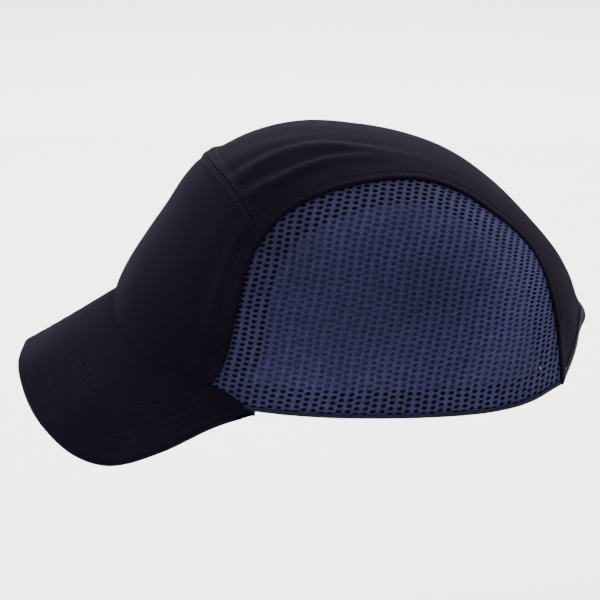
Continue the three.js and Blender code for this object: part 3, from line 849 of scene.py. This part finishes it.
def side_point(y, height):
    """Point of the side surface at y and a length up the cloth from the level of the hem."""
    base = across_of(y, np.zeros_like(y))
    mean = 0.5 * (base + 86)
    turn = np.maximum(height - CENTRE_HEIGHT, 0) / mean
    low = np.zeros_like(y)
    high = np.full_like(y, 130.0)
    for _ in range(24):
        q = (low + high) / 2
        rise = q * np.sin(turn)
        pitch = np.degrees(np.arctan2(rise, -y))
        radius = smooth_value(PROFILE, pitch)
        inside = (np.maximum(q * np.cos(turn), 0) / HALF_WIDTH) ** SQUARENESS
        inside = inside + (np.hypot(y, rise) / radius) ** SQUARENESS < 1
        low = np.where(inside, q, low)
        high = np.where(inside, high, q)
    z = np.where(height < CENTRE_HEIGHT, height, CENTRE_HEIGHT + q * np.sin(turn))
    return np.stack([q * np.cos(turn), y, z], -1)


hem_y = np.linspace(-90, 100, 400)
hem_x = across_of(hem_y, np.zeros_like(hem_y))
hem_length = np.concatenate([[0], np.cumsum(np.hypot(np.diff(hem_y), np.diff(hem_x)))])
hem_length = hem_length - np.interp(0, hem_y, hem_length)


def net_grid(columns, rows):
    """Flat grid of net cells in columns and half rows: columns go in pairs, and each pair of
    columns has its threads half a row above those of the next."""
    bm = bmesh.new()
    bmesh.ops.create_grid(bm, x_segments=columns, y_segments=2 * rows, size=0.5)
    bmesh.ops.translate(bm, verts=bm.verts, vec=(0.5, 0.5, 0))
    bmesh.ops.scale(bm, verts=bm.verts, vec=(columns, 2 * rows, 1))
    spare = []
    for edge in bm.edges:
        a, b = (vertex.co for vertex in edge.verts)
        level = abs(a.y - b.y) < 0.5
        pair = int(min(a.x, b.x) + 0.1) // 2
        if level and not edge.is_boundary and (round(a.y) + pair) % 2:
            spare.append(edge)
    bmesh.ops.dissolve_edges(bm, edges=spare, use_verts=True)
    return bm


def net_place(cells):
    """Cap points of net grid points, with a little knitting unevenness."""
    height = cells[:, 1] * NET_PITCH[1] / 2
    length = (cells[:, 0] - NET_COLUMNS / 2) * NET_PITCH[0] + NET_LEAN * height + 6
    length = length + 0.35 * np.sin(height / 7 + length / 19)
    y = np.interp(length, hem_length, hem_y)
    hem = smooth_value(HEM, y) + 0.3
    height = hem + height * (1 - hem / 120) + 0.3 * np.sin(length / 13) * np.clip(height / 9, 0, 1)
    return side_point(y, height)


def net_panel(side, name, node):
    """Open knitted mesh: the middles of the cells are taken out and the threads rounded."""
    bm = net_grid(NET_COLUMNS, NET_ROWS)
    points = net_place(coordinates(bm))
    edge = mesh_edge(girth_of(points[:, 1], points[:, 2]))
    angle = np.degrees(np.arctan2(points[:, 0], -points[:, 1]))
    root = np.where(angle < 60, smooth_value(PEAK_ROOT, angle) - 3.0, -5.0)
    keep = (points[:, 0] > edge - 3.8 / stretch(edge)) & (points[:, 2] > root)
    keep &= np.abs(points[:, 1] - 5) < 94
    loose = [vertex for vertex, kept in zip(bm.verts, keep) if not kept]
    bmesh.ops.delete(bm, geom=loose, context="VERTS")

    # the inset is made at a scale at which ribs and threads are equally wide
    scale = Vector((NET_PITCH[0] * NET_THREAD / NET_RIB, NET_PITCH[1] / 2, 1))
    bmesh.ops.scale(bm, verts=bm.verts, vec=scale)
    cells = list(bm.faces)
    bmesh.ops.inset_individual(bm, faces=cells, thickness=NET_THREAD / 2, depth=0,
                               use_even_offset=True)
    bmesh.ops.delete(bm, geom=cells, context="FACES_ONLY")
    bmesh.ops.scale(bm, verts=bm.verts, vec=(1 / scale.x, 1 / scale.y, 1))
    points = net_place(coordinates(bm))
    set_coordinates(bm, points + outward(points.copy()) * NET_OUT)
    bmesh.ops.recalc_face_normals(bm, faces=bm.faces)
    outermost = max(bm.faces, key=lambda face: face.calc_center_median().x)
    if outermost.normal.x < 0:
        bmesh.ops.reverse_faces(bm, faces=bm.faces)
    bmesh.ops.solidify(bm, geom=list(bm.faces), thickness=NET_THICKNESS)
    if side < 0:
        bmesh.ops.scale(bm, vec=(-1, 1, 1), verts=bm.verts)
    piece = finish_piece(bm, name, "cap", net, [node])
    return subdivide(piece)


def seam_facing(side, name):
    """Facing inside the crown's and front's edge, seen through the mesh beside it."""
    bm, uvw = cloth_block((360, 14), 320, 8)
    x, girth = border_places(side, 15 * uvw[:, 1] - 1.5, uvw[:, 0], root_girth, arch_girth)
    set_coordinates(bm, girth_point(x, girth, -1.45 - 0.45 * (1 - uvw[:, 2])))
    return finish_piece(bm, name, "cap", facing)


def hem_binding(side, name, node):
    """Folded tape round the lower edge of a mesh panel: narrow outside, taller inside."""
    bm, uvw = cloth_block((170, 16), 150, 22)
    angle = side * (52 + 102 * uvw[:, 0])
    fold = smooth_line([(0.15, 1.5), (0.3, 0.9), (0.25, 0.1), (-0.25, -0.35), (-0.9, -0.3),
                        (-1.4, 0.3), (-1.6, 1.5), (-1.7, 10.8)], 6)
    lift, rise = folded(fold, uvw[:, 1], 0.5 * (uvw[:, 2] - 0.5))
    points = wall_point(angle, np.zeros_like(angle), -lift)
    points[:, 2] = smooth_value(HEM, points[:, 1]) + rise + 0.3
    set_coordinates(bm, points)
    return finish_piece(bm, name, "cap", lining, [node])


def mesh_sides():
    net_panel(1, "mesh_net_left", "mesh_panel_left")
    net_panel(-1, "mesh_net_right", "mesh_panel_right")
    seam_facing(1, "seam_facing_left")
    seam_facing(-1, "seam_facing_right")
    hem_binding(1, "hem_binding_left", "hem_tape_left")
    hem_binding(-1, "hem_binding_right", "hem_tape_right")


# ---- peak -------------------------------------------------------------------------------------
peak_line = smooth_line([(-x, y, z) for x, y, z in PEAK_EDGE[:0:-1]] + PEAK_EDGE, 20)


def peak_surface(across, out):
    """Middle of the peak's thickness: across from -1 to 1, out from 0 at the root to 1."""
    angle = PEAK_ROOT[-1][0] * np.clip(across, -1, 1)
    root = wall_point(angle, smooth_value(PEAK_ROOT, np.abs(angle)), -0.3)
    edge = along(peak_line, (np.clip(across, -1, 1) + 1) / 2)
    return root + (edge - root) * np.asarray(out)[..., None]


def peak_normal(across, out):
    step = 2e-3
    out = np.clip(out, 0.03, 0.97)
    across = np.clip(across, -0.985, 0.985)
    side = peak_surface(across + step, out) - peak_surface(across - step, out)
    forward = peak_surface(across, out + step) - peak_surface(across, out - step)
    normal = np.cross(side, forward)
    normal *= np.sign(normal[:, 2:3])
    return normal / np.linalg.norm(normal, axis=1, keepdims=True)


def peak_reach(across):
    """Length of the peak from root to edge."""
    root = peak_surface(across, np.zeros_like(across))
    edge = peak_surface(across, np.ones_like(across))
    return np.linalg.norm(edge - root, axis=1)


PEAK_ROWS = (7, 13.5, 20, 26.5, 33)


def quilting(across, out):
    """Shallow channels where the rows of stitching draw the cover down."""
    inward = (1 - out) * peak_reach(across)
    drawn = np.zeros_like(inward)
    for row in PEAK_ROWS:
        drawn += 0.22 * hump(inward - row, 1.1)
    return drawn


def peak_cover(name, node, upper):
    """One cover of the peak; its outer edge rolls round the board."""
    bm, uvw = cloth_block((200, 62), 170, 54)
    across = 2 * uvw[:, 0] - 1
    half = PEAK_THICKNESS / 2
    flat_share = 0.86
    flat = uvw[:, 1] / flat_share
    rolled = np.clip((uvw[:, 1] - flat_share) / (1 - flat_share), 0, 1)
    reach = np.maximum(peak_reach(across), 3)
    radius = np.minimum(half, reach / 3)
    turn = rolled * math.radians(88 if upper else 80)
    tuck = np.clip(1 - flat / 0.12, 0, 1) * COVER_TUCK / reach
    out = np.clip(flat, 0, 1) * (1 - radius / reach) + np.sin(turn) * radius / reach - tuck
    rise = half - radius + np.cos(turn) * radius
    end = hump(np.maximum(1 - np.abs(across), 0) * 100, 3.0)
    rise = rise * (1 - 0.45 * end) - quilting(across, out)
    shrink = 0.0 if upper else 0.25
    wall = COVER_WALL * (1 - uvw[:, 2])
    height = rise - shrink - wall * np.cos(turn)
    out = out - (wall + shrink) * np.sin(turn) / reach
    sign = 1 if upper else -1
    points = peak_surface(across, out) + peak_normal(across, out) * (sign * height)[:, None]
    set_coordinates(bm, points)
    return finish_piece(bm, name, "cap", cotton, [node])


def peak_pieces():
    peak_cover("peak_cover_top", "peak_top_cover", True)
    peak_cover("peak_cover_under", "peak_under_cover", False)
    rows = []
    across = np.linspace(-0.97, 0.97, 260)
    reach = peak_reach(across)
    for sign in (1, -1):
        for row in PEAK_ROWS:
            out = 1 - row / reach
            inside = out > 0.06
            height = sign * (PEAK_THICKNESS / 2 - 0.17)
            points = peak_surface(across, out) + peak_normal(across, out) * height
            rows.append(points[inside])
    stitch_row("peak_stitches", rows, "cap", length=2.5, gap=0.8, width=0.5, height=0.34)
    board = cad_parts["peak_board"]
    board.data.materials.clear()
    board.data.materials.append(board_sheet)


# ---- bump shell -------------------------------------------------------------------------------
def ribbon(line, width):
    """Outline of a round-ended slot along a line, as a list of points."""
    dense = smooth_line(line, 5)
    ahead = np.gradient(dense, axis=0)
    ahead /= np.linalg.norm(ahead, axis=1, keepdims=True)
    side = np.stack([ahead[:, 1], -ahead[:, 0]], -1) * width / 2
    outline = list(dense + side)
    for end, heading in ((-1, ahead[-1]), (0, -ahead[0])):
        for degrees in (-60, -30, 0, 30, 60):
            turn = math.radians(degrees)
            rotated = np.array([heading[0] * math.cos(turn) - heading[1] * math.sin(turn),
                                heading[0] * math.sin(turn) + heading[1] * math.cos(turn)])
            outline.append(dense[end] + rotated * width / 2)
        if end == -1:
            outline.extend(list((dense - side)[::-1]))
    return outline


def prism(outline, low, high, lift_to_world):
    """Closed prism of a flat outline, placed by a function of (a, b, depth)."""
    bm = bmesh.new()
    ring = [bm.verts.new(lift_to_world(a, b, low)) for a, b in outline]
    face = bm.faces.new(ring)
    made = bmesh.ops.extrude_face_region(bm, geom=[face], use_keep_orig=True)
    moved = [g for g in made["geom"] if isinstance(g, bmesh.types.BMVert)]
    shift = Vector(lift_to_world(0, 0, high)) - Vector(lift_to_world(0, 0, low))
    bmesh.ops.translate(bm, verts=moved, vec=shift)
    bmesh.ops.scale(bm, vec=(MM, MM, MM), verts=bm.verts)
    bmesh.ops.recalc_face_normals(bm, faces=bm.faces)
    mesh = bpy.data.meshes.new("cutter")
    bm.to_mesh(mesh)
    bm.free()
    cutter = bpy.data.objects.new("cutter", mesh)
    bpy.context.scene.collection.objects.link(cutter)
    return cutter


def cap_ball(inset):
    """Closed volume of the cap, inset, with its wall carried down below the hem."""
    bm = bmesh.new()
    bmesh.ops.create_uvsphere(bm, u_segments=96, v_segments=64, radius=1)
    points = coordinates(bm)
    points /= np.linalg.norm(points, axis=1, keepdims=True)
    upper = points[:, 2:] > -1e-4
    raised = np.column_stack([points[:, :2], np.maximum(points[:, 2], 0)])
    dome = dome_point(np.where(upper, raised, [0, 0, 1]), inset)
    flat = points[:, :2] / np.maximum(np.linalg.norm(points[:, :2], axis=1, keepdims=True), 1e-6)
    angle = np.degrees(np.arctan2(flat[:, 0], -flat[:, 1]))
    wall = wall_point(angle, CENTRE_HEIGHT + points[:, 2] * 60, inset)
    centre = np.hypot(points[:, 0], points[:, 1]) < 1e-3
    wall[centre, :2] = 0
    set_coordinates(bm, np.where(upper, dome, wall))
    return bm


def boolean(piece, cutter, operation):
    """Applies a cut or a common part to a piece and removes the cutter."""
    modifier = piece.modifiers.new("cut", "BOOLEAN")
    modifier.operation = operation
    modifier.solver = "EXACT"
    modifier.object = cutter
    depsgraph = bpy.context.evaluated_depsgraph_get()
    cut = bpy.data.meshes.new_from_object(piece.evaluated_get(depsgraph))
    piece.modifiers.clear()
    old = piece.data
    piece.data = cut
    bpy.data.meshes.remove(old)
    bpy.data.objects.remove(cutter)


def bump_shell():
    """Moulded shell: vented dome with side wings, open below."""
    outer = cap_ball(SHELL_INSET)
    piece = finish_piece(outer, "shell_moulding", "insert", plastic, ["shell"])
    hollow = finish_piece(cap_ball(SHELL_INSET + SHELL_WALL), "hollow", "insert", plastic)
    boolean(piece, hollow, "DIFFERENCE")

    def side_view(y, z, x):
        return (x, y, z)

    def plan_view(x, y, z):
        return (x, y, z)

    rim = [tuple(p) for p in smooth_line(SHELL_RIM, 5)]
    keep = prism([*rim, (130, 200), (-130, 200)], -120, 120, side_view)
    boolean(piece, keep, "INTERSECT")
    for line in TOP_VENTS + FRONT_VENTS:
        for low, high in ((25, 120), (-120, -25)):
            boolean(piece, prism(ribbon(line, VENT_WIDTH), low, high, side_view), "DIFFERENCE")
    for x in (-30, 0, 30):
        for y in (-36, 14):
            slot_line = [(x, y - 15), (x, y), (x, y + 15)]
            boolean(piece, prism(ribbon(slot_line, VENT_WIDTH), 60, 160, plan_view), "DIFFERENCE")
    for polygon in piece.data.polygons:
        polygon.use_smooth = True
    edge = piece.modifiers.new("edge", "BEVEL")
    edge.width = 0.5 * MM
    edge.segments = 2
    edge.limit_method = "ANGLE"
    edge.angle_limit = math.radians(50)
    return piece


# ---- pads and sweatband -----------------------------------------------------------------------
def pad_piece(name, node, direction_of):
    """Foam pad with rounded corners, crowned towards the head and grooved round its rim."""
    bm = block(34, 30, 3)
    uvw = coordinates(bm)
    a = 2 * uvw[:, 0] - 1
    b = 2 * uvw[:, 1] - 1
    soft = 0.62
    x = a * np.sqrt(1 - soft * b * b * 0.5)
    y = b * np.sqrt(1 - soft * a * a * 0.5)
    rim = np.maximum(np.abs(a), np.abs(b))
    crown = 0.42 + 0.58 * np.sqrt(np.clip(1 - rim**5, 0, 1)) - 0.10 * hump(rim - 0.86, 0.04)
    pull = 1 - 0.03 * hump(uvw[:, 2] - 1, 0.4)
    inset = PAD_INSET + PAD_THICKNESS * crown * (1 - uvw[:, 2])
    set_coordinates(bm, dome_point(direction_of(x * pull, y * pull), inset))
    piece = finish_piece(bm, name, "insert", foam, [node])
    return subdivide(piece)


def toward(turn, rise, half_turn, half_rise):
    """Function from pad x, y to directions round a turn from the front and a rise."""
    def direction(x, y):
        up = np.radians(rise + half_rise * y)
        round_ = np.radians(turn + half_turn * x)
        return np.stack([np.sin(round_) * np.cos(up), -np.cos(round_) * np.cos(up), np.sin(up)], -1)
    return direction


def over_top(x, y):
    """Directions for a pad over the middle of the crown."""
    return np.stack([34 * x, 44 * y - 2, np.full_like(x, 85.0)], -1)


def sweatband_piece():
    """Towelling band: padded middle, flatter bound edges, a stitched line near each edge."""
    bm, uvw = cloth_block((BAND_LENGTH, BAND_HEIGHT), 240, 26, 2)
    angle = BAND_HALF_TURN * (2 * uvw[:, 0] - 1)
    low = np.maximum(smooth_value(PEAK_ROOT, np.abs(angle)) - 3, 3.5)
    v = uvw[:, 1]
    edge = np.minimum(v, 1 - v) * BAND_HEIGHT
    ends = np.minimum(uvw[:, 0], 1 - uvw[:, 0]) * BAND_LENGTH
    body = 0.45 + 0.55 * np.sqrt(np.clip(1 - (2 * v - 1) ** 4, 0, 1))
    body = body - 0.22 * hump(edge - 3.2, 0.8)
    body = body * (0.6 + 0.4 * np.clip(ends / 3, 0, 1))
    ripple = 0.12 * np.sin(angle * 1.7) * np.sin(v * math.pi)
    inset = PAD_INSET + (2.9 * body + ripple) * (1 - uvw[:, 2])
    set_coordinates(bm, cap_point(angle, low + BAND_HEIGHT * v, inset))
    piece = finish_piece(bm, "sweatband_terry", "insert", terry, ["sweatband"])
    return piece


def insert_pieces():
    bump_shell()
    pad_piece("pad_crown_foam", "pad_crown", over_top)
    pad_piece("pad_front_foam", "pad_front", toward(0, 42, 34, 9.5))
    pad_piece("pad_left_foam", "pad_left", toward(88, 26, 30, 15))
    pad_piece("pad_right_foam", "pad_right", toward(-88, 26, 30, 15))
    pad_piece("pad_rear_foam", "pad_rear", toward(180, 38, 30, 11))
    sweatband_piece()


# ---- rear closure -----------------------------------------------------------------------------
def strap_piece(name, node, body, material, wall, tip=0.0, end=None):
    """Flat webbing from its CAD node's box, with rounded edges and a rounded tip; end, where
    it's given, is where the strap stops across instead."""
    low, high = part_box(node)
    low, high = np.array(low) / MM, np.array(high) / MM
    if end is not None:
        high[0] = end
    bm, uvw = cloth_block((high[0] - low[0], high[2] - low[2]), 60, 18)
    v = 2 * uvw[:, 1] - 1
    x = low[0] + (high[0] - low[0]) * uvw[:, 0]
    if tip:
        x = x - tip * (1 - np.sqrt(1 - 0.9 * v**2)) * uvw[:, 0] ** 6
    z = (low[2] + high[2]) / 2 + v * (high[2] - low[2]) / 2
    bulge = 0.5 * wall * np.sqrt(np.clip(1 - v**8, 0, 1))
    y = low[1] + wall / 2 + bulge * np.sign(uvw[:, 2] - 0.5)
    set_coordinates(bm, np.stack([x, y, z], -1))
    return finish_piece(bm, name, body, material, [node])


def strap_pieces():
    strap_piece("strap_base_webbing", "strap_base_right", "cap", webbing, 1.0,
                end=STRAP_BASE_END)
    strap_piece("loop_strap_webbing", "loop_strap", "cap", webbing, 1.0)
    strap_piece("loop_pad_pile", "loop_pad", "cap", loop_pile, 0.7)
    strap_piece("hook_tab_webbing", "hook_tab", "tab", webbing, 1.0, 7.0)
    strap_piece("hook_pad_film", "hook_pad", "tab", hook_film, 0.7)
    rows = []
    low, high = (np.array(corner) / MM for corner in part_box("hook_tab"))
    for z in (low[2] + 1.2, high[2] - 1.2):
        xs = np.linspace(low[0] + 1, high[0] - 7, 40)
        rows.append(np.stack([xs, np.full(40, high[1] + 0.05), np.full(40, z)], -1))
    stitch_row("tab_stitches", rows, "tab", width=0.5, height=0.3)


def arch_trim():
    """Folded binding round the rear opening."""
    bm, uvw = cloth_block((170, 14), 150, 16)
    x = 43.5 * (2 * uvw[:, 0] - 1)
    edge = arch_girth(x)
    fold = smooth_line([(5.2, 0.75), (2.5, 0.85), (0.6, 0.75), (-0.5, 0.1), (-0.5, -0.6),
                        (0.6, -1.3), (2.5, -1.45), (6.0, -1.5)], 6)
    inward, lift = folded(fold, uvw[:, 1], -0.5 * (uvw[:, 2] - 0.5))
    inward = inward - 2.2 * arch_middle(x)
    steep = np.abs(np.gradient(smooth_value(ARCH, np.abs(np.linspace(-45, 45, 181))), 0.5))
    lean = np.interp(x, np.linspace(-45, 45, 181), np.sqrt(1 + steep**2))
    girth = edge - np.degrees(inward * lean / REAR_RADIUS)
    set_coordinates(bm, girth_point(x, girth, lift + rear_relief(x, girth)))
    finish_piece(bm, "arch_binding_tape", "cap", tape, ["arch_binding"])


def small_trim():
    """Inside tape over the cross seam and a blank label."""
    bm, uvw = cloth_block((130, 10), 90, 8)
    x = 62 * (2 * uvw[:, 0] - 1)
    v = 2 * uvw[:, 1] - 1
    girth = seam_girth(x) + np.degrees(5 * v / 100)
    lift = -1.45 - 0.5 * (1 - uvw[:, 2]) + 0.12 * hump(np.abs(v) - 0.8, 0.1)
    set_coordinates(bm, girth_point(x, girth, lift))
    finish_piece(bm, "front_seam_tape_cloth", "cap", tape, ["front_seam_tape"])

    bm, uvw = cloth_block((10, 14), 24, 30)
    curl = 0.5 * (1 - uvw[:, 1]) ** 2 * np.sin(uvw[:, 0] * math.pi)
    inset = 2.3 + 0.3 * (1 - uvw[:, 2]) + curl
    set_coordinates(bm, cap_point(175 + 10 * uvw[:, 0], 41 + 14 * uvw[:, 1], inset))
    finish_piece(bm, "care_label_satin", "cap", satin, ["care_label"])


studio()
cotton_panels()
mesh_sides()
peak_pieces()
insert_pieces()
strap_pieces()
arch_trim()
small_trim()
